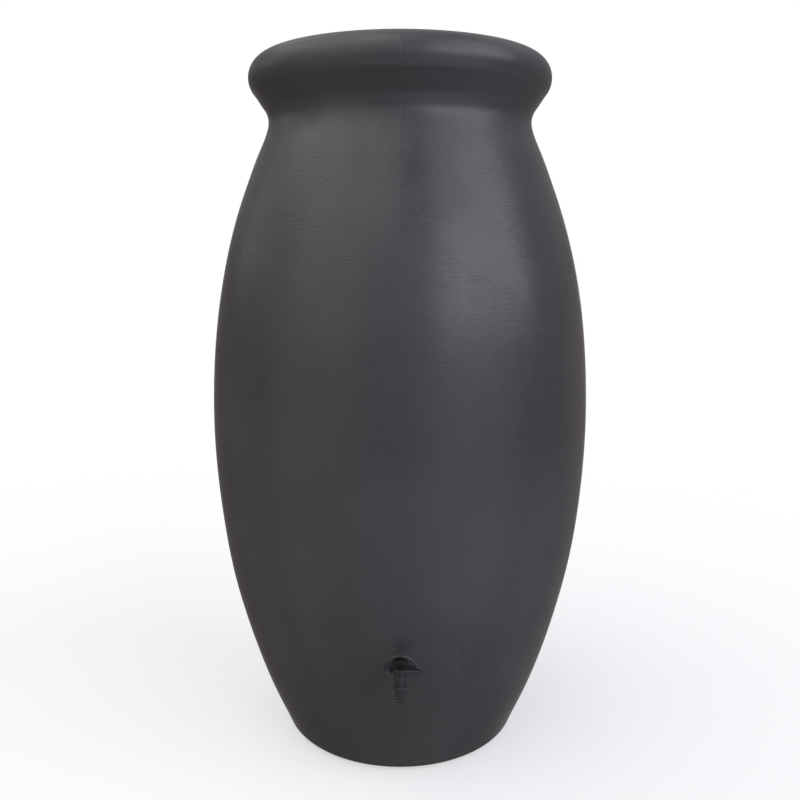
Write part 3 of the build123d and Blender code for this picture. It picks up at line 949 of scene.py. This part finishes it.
def build_seal():
    """A flat ring between ledge and flange, with two grooves in its top."""
    low, top = LEDGE + 0.05, FLANGE - 0.05
    groove = top - 0.85
    # radius, height, corner radius
    outline = [
        (141.6, low, 0.9), (158.9, low, 1.3), (158.9, top, 1.3), (155.2, top, 0.3),
        (154.6, groove, 0.4), (153.0, groove, 0.4), (152.4, top, 0.3), (148.6, top, 0.3),
        (148.0, groove, 0.4), (146.4, groove, 0.4), (145.8, top, 0.3), (141.6, top, 1.0),
    ]
    seal = lathe("lid_sealing_ring", rounded(outline, step=30), AXIS, 192)
    piece(tidy(seal, 45), "lid", "rubber", "lid_seal")


build_lid()
build_seal()

# ------------------------------------------------------------------ strainer
CUP_FLOOR, CUP_HEIGHT = 981.2, 54.1
SHEET = 2.3
COLS = 144


def cup_radius(z):
    return 48.95 + (z - CUP_FLOOR) * (60.35 - 48.95) / CUP_HEIGHT


def build_strainer_cup():
    """A perforated cup, made as one sheet and then thickened."""
    verts, faces = [], []

    def add(x, y, z):
        verts.append(np.array((x, y, z), float) * MM)
        return len(verts) - 1

    def polar(r, q, z):
        return add(r * math.cos(q), r * math.sin(q), z)

    def ring(r, z):
        return [polar(r, TAU * k / COLS, z) for k in range(COLS)]

    pole = add(0, 0, CUP_FLOOR)
    first = ring(3.0, CUP_FLOOR)
    edge = ring(7.4, CUP_FLOOR)
    following = [(k, (k + 1) % COLS) for k in range(COLS)]
    faces += [[pole, first[k], first[j]] for k, j in following]
    faces += [[first[k], edge[k], edge[j], first[j]] for k, j in following]

    # rings of round holes in the floor: inner radius, radius to hole centres, outer radius, count
    hole_r, hole_border_r = 4.5, 5.4
    for r_in, r_hole, r_out, count in (
        (7.4, 14.0, 20.5, 6), (20.5, 27.0, 33.5, 12), (33.5, 40.0, 46.2, 18),
    ):
        outer_edge = ring(r_out, CUP_FLOOR)
        per = COLS // count
        spokes = [
            [polar(r_in + (r_out - r_in) * t, TAU * (s * per) / COLS, CUP_FLOOR)
             for t in (0.25, 0.5, 0.75)]
            for s in range(count)
        ]
        for s in range(count):
            a, b = s * per, (s + 1) * per
            loop = [edge[k % COLS] for k in range(a, b + 1)]
            loop += spokes[(s + 1) % count]
            loop += [outer_edge[k % COLS] for k in range(b, a - 1, -1)]
            loop += spokes[s][::-1]
            middle = TAU * (s + 0.5) / count
            cx, cy = r_hole * math.cos(middle), r_hole * math.sin(middle)
            border, hole = [], []
            for vert in loop:
                p = verts[vert] / MM
                q = math.atan2(p[1] - cy, p[0] - cx)
                for r, target in ((hole_border_r, border), (hole_r, hole)):
                    target.append(add(cx + r * math.cos(q), cy + r * math.sin(q), CUP_FLOOR))
            # the two bands advance together round the hole
            for k in range(len(loop)):
                j = (k + 1) % len(loop)
                faces.append([loop[k], loop[j], border[j], border[k]])
                faces.append([border[k], border[j], hole[j], hole[k]])
        edge = outer_edge

    # upright slots in two tiers round the wall
    slots = {k for k in range(COLS) if (k + 2) % 9 < 5}
    corner_top = 982.6
    wall_z = [
        984.6, 986.7, 989.8, 993.5, 997.2, 1001.3, 1003.6, 1005.7, 1009.6, 1014.0, 1018.2,
        1022.3, 1024.6, 1028.6, 1032.2,
    ]
    # radius, height, columns left open below
    rows = [(48.2, 981.6, ()), (49.2, corner_top, ())]
    for below, z in zip([corner_top] + wall_z, wall_z):
        slotted = (986.6 <= below and z <= 1001.4) or (1005.6 <= below and z <= 1022.4)
        rows.append((cup_radius(z), z, slots if slotted else ()))
    rim = ((60.2, 1034.5), (61.2, 1035.2), (65.0, 1035.3), (69.5, 1035.3), (71.6, 1035.3))
    rows += [(r, z, ()) for r, z in rim]
    for r, z, skip in rows:
        above = ring(r, z)
        band(faces, edge, above, skip)
        edge = above

    cup = tidy(new_object("strainer_cup", verts, faces), 60)
    thick = cup.modifiers.new("thickness", "SOLIDIFY")
    thick.thickness = SHEET * MM
    thick.offset = 0.0
    smooth = cup.modifiers.new("smooth", "SUBSURF")
    smooth.levels = smooth.render_levels = 1
    apply_modifiers(cup)
    piece(tidy(cup, 70), "strainer", "strainer", "strainer_basket")


def liner_radius(z):
    return 47.5 + (z - 982.5) * (59.2 - 47.9) / CUP_HEIGHT


def build_wire_liner():
    """The woven wire liner of the cup: a flat floor, then level rings and meridians."""
    verts, faces = [], []
    wire_r, weave = 0.21, 0.19
    floor_z, floor_r = 982.93, 47.3
    pitch, lanes_each_side = 2.3, 20
    row_z, row_pitch, row_count = 984.0, 2.2, 22
    meridians = 132
    for axis in (0, 1):
        for lane in range(-lanes_each_side, lanes_each_side + 1):
            off = lane * pitch
            half = math.sqrt(floor_r**2 - off * off)
            steps = int(half / (pitch / 2))
            t = np.concatenate([[-half], np.arange(-steps, steps + 1) * pitch / 2, [half]])
            t = t[np.concatenate([[True], np.diff(t) > 0.15])]
            wave = weave * np.cos(math.pi * t / pitch + math.pi * lane) * (1 - 2 * axis)
            path = np.zeros((len(t), 3))
            path[:, axis], path[:, 1 - axis], path[:, 2] = t, off, floor_z + wave
            tube(verts, faces, path, wire_r)
    for i in range(row_count):
        z = row_z + i * row_pitch
        q = np.arange(2 * meridians) * TAU / (2 * meridians)
        r = liner_radius(z) + weave * np.cos(meridians / 2 * q + math.pi * i)
        path = np.stack([r * np.cos(q), r * np.sin(q), np.full(len(q), z)], axis=1)
        tube(verts, faces, path, wire_r, closed=True)
    z = np.concatenate([[982.9], row_z + np.arange(0, 43) * row_pitch / 2, [1031.4]])
    for j in range(meridians):
        q = TAU * j / meridians
        r = liner_radius(z) - weave * np.cos(math.pi * (z - row_z) / row_pitch + math.pi * j)
        path = np.stack([r * math.cos(q), r * math.sin(q), z], axis=1)
        tube(verts, faces, path, wire_r, side=(-math.sin(q), math.cos(q), 0.0))
    liner = new_object("strainer_wire", verts, faces)
    piece(tidy(liner, 100), "strainer", "wire", "strainer_mesh")


def build_clamp_ring():
    """The ring that holds the top edge of the liner."""
    base = 1032.0
    r = liner_radius(base) + 0.1
    # radius, height, corner radius
    outline = [
        (r - 3.4, base, 0.5), (r - 0.2, base, 0.4), (r + 0.25, 1034.6, 0.5),
        (r - 0.3, 1035.2, 0.5), (r - 2.8, 1035.2, 0.6), (r - 3.4, 1034.4, 0.6),
    ]
    clamp = lathe("strainer_clamp_ring", rounded(outline, step=30), AXIS, 144)
    piece(tidy(clamp, 45), "strainer", "strainer", "strainer_ring")


build_strainer_cup()
build_wire_liner()
build_clamp_ring()

# ------------------------------------------------------------------ overflow
BEND_START, BEND_R = 26.0, 15.0
BEND_LENGTH = BEND_R * math.pi / 2
BEND_END = BEND_START + BEND_LENGTH


def elbow_place(s):
    """Centre of the bore and the direction to the inside of the bend, at distance s along it."""
    if s <= BEND_START:
        return over_origin + over_out * s, over_down
    if s >= BEND_END:
        leg = BEND_R + s - BEND_START - BEND_LENGTH
        return over_origin + over_out * (BEND_START + BEND_R) + over_down * leg, -over_out
    q = (s - BEND_START) / BEND_R
    inward = -over_out * math.sin(q) + over_down * math.cos(q)
    return over_origin + over_out * BEND_START + over_down * BEND_R - BEND_R * inward, inward


def build_elbow():
    """One bore and one skin carried round the bend, with barbs down the leg."""
    tube_r, bore_r, leg_length, segments = 12.4, 10.4, 46, 72
    # distance along the bore, radius, corner radius
    outline = [
        (-13.5, 13.2, 0.5), (-11.6, 14.05, 0.5), (-9.3, 14.05, 0.4), (-9.3, 12.98, 0.2),
        (1.6, 12.98, 0.3), (1.6, 17.6, 0.5), (4.6, 17.6, 0.8), (4.6, tube_r, 1.4),
    ]
    outline += [(s, tube_r, 0) for s in np.linspace(9, BEND_END + 9, 26)]
    # the same three, from the end of the bend
    leg = [
        (14, tube_r, 0.3), (14.6, 13.38, 0.35), (17.0, 13.38, 0.35), (23, 11.9, 0.5),
        (23.6, 12.8, 0.35), (24.6, 12.8, 0.35), (31, 11.8, 0.5), (31.6, 12.6, 0.35),
        (32.6, 12.6, 0.35), (39, 11.6, 0.5), (39.6, 12.4, 0.35), (40.6, 12.4, 0.35),
        (leg_length, 11.3, 0.4), (leg_length, bore_r, 0.4),
    ]
    outline += [(BEND_END + along, r, corner) for along, r, corner in leg]
    outline += [(s, bore_r, 0) for s in np.linspace(BEND_END + 30, -4, 30)]
    outline += [(-11.5, bore_r, 0), (-11.5, 11.62, 0), (-13.5, 11.62, 0.3)]

    verts, faces, rings = [], [], []
    for s, r in rounded(outline, step=30):
        centre, inward = elbow_place(s)
        rings.append(list(range(len(verts), len(verts) + segments)))
        for k in range(segments):
            q = TAU * k / segments
            spoke = math.cos(q) * np.array([1.0, 0, 0]) + math.sin(q) * inward
            verts.append((centre + r * spoke) * MM)
    for i in range(len(rings)):
        band(faces, rings[i], rings[(i + 1) % len(rings)])
    elbow = new_object("overflow_bend", verts, faces)
    piece(tidy(elbow, 45), "overflow", "overflow", "overflow_elbow")


def build_grommet():
    # radius, height along the overflow's axis, corner radius
    outline = [
        (13.05, -9.0, 0.4), (18.2, -9.0, 0.5), (19.0, -8.2, 0.5), (19.0, -6.55, 0.3),
        (15.95, -6.55, 0.2), (15.95, -1.45, 0.2), (20.5, -1.45, 0.4), (20.5, 0.2, 0.7),
        (19.2, 1.5, 0.7), (13.05, 1.5, 0.4),
    ]
    place = frame_axes(over_origin * MM, (1, 0, 0), over_out)
    grommet = lathe("overflow_grommet_ring", rounded(outline, step=30), place, 96)
    piece(tidy(grommet, 45), "barrel", "rubber", "overflow_grommet")


build_elbow()
build_grommet()

# ------------------------------------------------------------------ tap
VALVE = frame_axes((0, -NOZZLE * MM, 0), (1, 0, 0), (0, 0, 1))
TAP_AXIS = frame_axes((0, 0, TAP_Z * MM), (1, 0, 0), (0, -1, 0))
# lever in plan: distance to the tip's centre plus its radius, then the hub and tip radii
REACH, HUB_R, TIP_R = 29.5, 11.6, 4.2
# the lever's upper and lower faces: x, height
LEVER_TOP = [(-11.6, 227.4), (-8.5, 230.1), (0, 230.6), (9, 230.3), (20, 228.4), (29.5, 225.6)]
LEVER_LOW = [(-11.8, 224.2), (12.2, 224.2), (16.0, 223.9), (26.5, 221.9), (29.7, 222.4)]
LEVER_TOP_SLOPES = (0.45, 0.89), (0.95, -0.31)


def lever_half(x):
    """Half the lever's width in plan: the hull of the hub and the tip."""
    tip_x = REACH - TIP_R
    lean_sin = (HUB_R - TIP_R) / tip_x
    lean_cos = math.sqrt(1 - lean_sin * lean_sin)
    if x <= HUB_R * lean_sin:
        return math.sqrt(max(0.0, HUB_R * HUB_R - x * x))
    if x >= tip_x + TIP_R * lean_sin:
        return math.sqrt(max(0.0, TIP_R * TIP_R - (x - tip_x) ** 2))
    return (HUB_R - x * lean_sin) / lean_cos


def build_lever():
    """The lever, with a stepped screw hole and a square socket under it."""
    top = spline(LEVER_TOP, *LEVER_TOP_SLOPES, 400)[0]
    low = np.array(LEVER_LOW)
    end_gap = 0.06
    rows = []
    # sections crowd together towards both ends
    for t in (1 - np.cos(np.linspace(0, math.pi, 61))) / 2:
        x = -HUB_R + end_gap + (REACH + HUB_R - 2 * end_gap) * t
        half = lever_half(x)
        high_z = float(np.interp(x, top[:, 0], top[:, 1]))
        low_z = float(np.interp(x, low[:, 0], low[:, 1]))
        # both faces draw in where the plan closes, so the ends are rounded as well
        draw = 1.1 * (1 - min(1.0, half / 3.2)) ** 2
        high_z, low_z = high_z - draw, low_z + 0.6 * draw
        top_r = min(1.5, 0.45 * (high_z - low_z), 0.9 * half)
        low_r = min(0.5, 0.2 * (high_z - low_z), 0.9 * half)
        row = []
        for side, z, r, start in (
            (1, low_z + low_r, low_r, -90), (1, high_z - top_r, top_r, 0),
            (-1, high_z - top_r, top_r, 90), (-1, low_z + low_r, low_r, 180),
        ):
            centre = (-NOZZLE + side * (half - r), z)
            row += [(x, y, z) for y, z in arc(centre, r, start, start + 90, 7)]
        rows.append(row)
    lever = loft_object("tap_lever_arm", rows)
    # radius, height
    bore = lathe(
        "lever_bore",
        [(0, 221.0), (1.6, 221.0), (1.6, 228.9), (3.1, 228.9), (3.1, 234.0), (0, 234.0)],
        VALVE, 48, closed=False,
    )
    combine(lever, tidy(bore, 30), "DIFFERENCE")
    half_square = 2.75
    socket = loft_object("lever_square", [
        [(sx * half_square, -NOZZLE + sy * half_square, z)
         for sx, sy in ((-1, -1), (1, -1), (1, 1), (-1, 1))]
        for z in (221.0, 227.6)
    ])
    combine(lever, socket, "DIFFERENCE")
    piece(tidy(lever, 36), "tap_valve", "valve", "tap_lever")


def grooved(r, angle):
    """Sixteen shallow finger grooves round the outside of the collar."""
    count, depth, half_width, inside_r = 16, 0.36, math.radians(4.9), 7.6
    if r < inside_r:
        return r
    off = ((angle / TAU * count + 0.5) % 1 - 0.5) * TAU / count
    return r - depth * max(0.0, 1 - (off / half_width) ** 2)


def build_collar():
    # radius, height, corner radius
    outline = [
        (5.7, 196.6, 0.2), (8.0, 196.6, 0.3), (8.7, 197.5, 0.4), (8.7, 202.4, 0.4),
        (8.1, 203.2, 0.3), (7.0, 203.2, 0.2), (7.0, 197.8, 0.1), (5.7, 197.8, 0.1),
    ]
    collar = lathe("tap_collar", rounded(outline, step=30), VALVE, 192, wave=grooved)
    piece(tidy(collar, 50), "barrel", "tap", "tap_outlet_nut")


def build_hose_tail():
    """The barbed tail under the collar."""
    # radius, height, corner radius
    outline = [
        (3.6, 199.2, 0.1), (6.6, 199.2, 0.1), (6.6, 197.8, 0.1), (5.6, 197.8, 0.1),
        (5.6, 193.6, 0.3), (6.5, 193.0, 0.25), (6.5, 191.4, 0.25), (5.2, 188.2, 0.3),
        (5.2, 187.7, 0.3), (6.0, 187.2, 0.25), (6.0, 186.4, 0.25), (4.9, 183.4, 0.3),
        (4.9, 182.9, 0.3), (5.5, 182.4, 0.25), (5.5, 181.6, 0.25), (4.6, 178.6, 0.3),
        (3.6, 178.6, 0.2),
    ]
    tail = lathe("tap_hose_barb", rounded(outline, step=30), VALVE, 72)
    piece(tidy(tail, 50), "barrel", "tap", "hose_tail")


def build_washer():
    back, front, corner = SEAT_OUT + 0.02, SEAT_OUT + 1.58, 0.45
    outline = [(10.6, back, corner), (12.2, back, corner), (12.2, front, corner),
               (10.6, front, corner)]
    washer = lathe("tap_flange_washer", rounded(outline), TAP_AXIS, 96)
    piece(tidy(washer, 50), "barrel", "rubber", "tap_washer")


build_lever()
build_collar()
build_hose_tail()
build_washer()

# ------------------------------------------------------------------ CAD pieces that stay
looks = {
    "tap_insert": "brass", "tap_body": "tap", "tap_rotor": "valve", "tap_rotor_seal": "rubber",
    "tap_gland": "valve", "tap_lever_screw": "steel", "tap_outlet_washer": "rubber",
    "overflow_screen": "overflow",
}
for name, look in looks.items():
    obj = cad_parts[name]
    if not obj.data.materials:
        obj.data.materials.append(materials[look])
    for material_slot in obj.material_slots:
        material_slot.material = materials[look]


# ------------------------------------------------------------------ floor
def build_floor():
    """A pale floor that fades into the white surround before its edge, alike all round."""
    radii, count = (0.4, 0.8, 1.3, 1.9, 2.6), 96
    verts = [(0.0, 0.0, 0.0)]
    for r in radii:
        verts += [(r * math.cos(TAU * k / count), r * math.sin(TAU * k / count), 0.0)
                  for k in range(count)]
    faces = [(0, 1 + k, 1 + (k + 1) % count) for k in range(count)]
    for i in range(len(radii) - 1):
        a, b = 1 + i * count, 1 + (i + 1) * count
        faces += [(a + k, b + k, b + (k + 1) % count, a + (k + 1) % count)
                  for k in range(count)]
    floor = new_object("studio_floor", verts, faces)

    n = Material("studio_floor")
    reach = n.add("ShaderNodeVectorMath", operation="LENGTH")
    n.link(n.position(), reach.inputs[0])
    fade = n.remap(reach.outputs["Value"], span=(0.7, 2.2))
    grey, black = (0.52, 0.52, 0.52, 1), (0.0, 0.0, 0.0, 1)
    n.set("Base Color", n.mix(fade, grey, black))
    n.set("Roughness", 0.95)
    n.set("Specular IOR Level", 0.0)
    n.set("Emission Color", (1.0, 1.0, 1.0, 1))
    n.set("Emission Strength", n.remap(fade, span=(0.0, 1.0), to=(0.52, 1.0), smooth=False))
    floor.data.materials.append(n.mat)
    # the surround alone lights the barrel, from below as well
    floor.visible_glossy = False
    floor.visible_diffuse = False


build_floor()

# ------------------------------------------------------------------ surround light
PLAIN, WARM = (1.0, 1.0, 1.0), (1.02, 1.0, 0.93)
COOL, RED = (0.96, 1.0, 1.13), (1.15, 0.96, 0.92)
# Rings of soft panels, brightest in a tall window on the right, all in degrees:
#   elevations where the ring starts, is full, starts to fade and ends
#   half the width of the blur between panels
#   panels as (from, to, strength, tint), azimuth 0 to the camera and positive to its right
STUDIO = [
    ((-100, -99, -52, -40), 20, [(-90, 90, 0.22, PLAIN), (90, 270, 0.12, PLAIN)]),
    ((-52, -40, -22, -10), 12, [
        (-160, -120, 0.12, RED), (-120, -80, 0.23, PLAIN), (-80, -30, 0.44, WARM),
        (-30, 20, 0.49, COOL), (20, 70, 0.70, COOL), (70, 110, 0.36, COOL),
        (110, 160, 0.20, PLAIN), (160, 200, 0.38, PLAIN),
    ]),
    ((-22, -10, 4, 14), 12, [
        (-160, -120, 0.12, RED), (-120, -80, 0.21, RED), (-80, -30, 0.47, WARM),
        (-30, 15, 0.19, COOL), (15, 70, 0.53, COOL), (70, 110, 0.13, COOL),
        (110, 160, 0.19, RED), (160, 200, 0.55, PLAIN),
    ]),
    ((4, 14, 28, 38), 4, [
        (-165, -125, 0.25, PLAIN), (-125, -70, 0.59, WARM), (-70, -25, 0.95, WARM),
        (-25, 5, 0.54, COOL), (5, 24, 0.80, COOL), (24, 55, 2.65, COOL), (55, 88, 2.30, COOL),
        (88, 120, 0.26, COOL), (120, 165, 0.27, PLAIN), (165, 195, 0.50, PLAIN),
    ]),
    ((28, 38, 52, 64), 6, [
        (-160, -110, 0.85, PLAIN), (-110, -50, 1.55, PLAIN), (-50, 0, 1.15, PLAIN),
        (0, 25, 0.15, COOL), (25, 55, 1.27, COOL), (55, 90, 1.87, COOL),
        (90, 140, 0.60, COOL), (140, 200, 0.50, PLAIN),
    ]),
    ((52, 64, 99, 100), 25, [
        (-90, 0, 1.93, PLAIN), (0, 90, 0.52, COOL), (90, 180, 0.30, PLAIN),
        (180, 270, 0.95, PLAIN),
    ]),
]
RAMP_SCALE = 3.0  # ramp colours are stored divided by this, which keeps them below 1


def panel_stops(blur, panels):
    """Colour stops (place from 0 to 1, colour) for a ring of panels, alike at both ends."""
    stops = []
    for start, end, strength, tint in panels:
        for at in (start + blur, end - blur):
            stops.append(((at + 180) % 360 / 360,
                          tuple(strength * c / RAMP_SCALE for c in tint)))
    stops.sort()
    if stops[0][1] != stops[-1][1]:
        mean = tuple((p + q) / 2 for p, q in zip(stops[0][1], stops[-1][1]))
        stops = [(0.0, mean)] + stops + [(1.0, mean)]
    return stops


def panel_ring(sky, azimuth, elevation, levels, blur, panels):
    """The light of one ring of panels."""
    stops = panel_stops(blur, panels)
    ramp = sky.add("ShaderNodeValToRGB")
    ramp.color_ramp.interpolation = "EASE"
    marks = ramp.color_ramp.elements
    while len(marks) < len(stops):
        marks.new(0.5)
    for mark, (at, colour) in zip(marks, stops):
        mark.position = at
        mark.color = (*colour, 1)
    sky.link(azimuth, ramp.inputs[0])
    ring = sky.add("ShaderNodeVectorMath", operation="SCALE")
    sky.link(ramp.outputs[0], ring.inputs[0])
    level = sky.math("MULTIPLY", sky.remap(elevation, span=levels[:2]),
                     sky.remap(elevation, span=levels[2:], to=(1.0, 0.0)))
    sky.link(sky.math("MULTIPLY", level, RAMP_SCALE), ring.inputs["Scale"])
    return ring.outputs[0]


def build_world():
    """The panels light the barrel; the camera itself sees plain white."""
    world = bpy.data.worlds.new("studio")
    scene.world = world
    sky = Nodes(world, "ShaderNodeOutputWorld", "ShaderNodeBackground")
    split = sky.add("ShaderNodeSeparateXYZ")
    sky.link(sky.add("ShaderNodeTexCoord").outputs["Generated"], split.inputs[0])
    azimuth = sky.math("MULTIPLY_ADD", sky.turn(split), 1 / TAU, 0.5)
    elevation = sky.math("MULTIPLY", sky.math("ARCSINE", split.outputs["Z"]), 180 / math.pi)
    light = None
    for levels, blur, panels in STUDIO:
        ring = panel_ring(sky, azimuth, elevation, levels, blur, panels)
        if light is None:
            light = ring
            continue
        total = sky.add("ShaderNodeVectorMath", operation="ADD")
        sky.link(light, total.inputs[0])
        sky.link(ring, total.inputs[1])
        light = total.outputs[0]
    seen = sky.add("ShaderNodeLightPath").outputs["Is Camera Ray"]
    sky.set("Color", sky.mix(seen, light, (1, 1, 1, 1)))
    sky.set("Strength", 1.0)


build_world()


# ------------------------------------------------------------------ camera
def build_camera():
    """In front of the barrel, looking slightly down."""
    tilt_down = 0.17746  # radians
    camera = bpy.data.cameras.new("camera")
    obj = bpy.data.objects.new("camera", camera)
    scene.collection.objects.link(obj)
    camera.sensor_width = 36.0
    camera.lens = 39.4965
    camera.clip_start = 0.01
    obj.location = (0.0, -1.4481, 0.8185)
    obj.rotation_euler = (math.pi / 2 - tilt_down, 0.0, 0.0)
    scene.camera = obj


build_camera()
scene.view_settings.view_transform = "Standard"
scene.view_settings.look = "None"
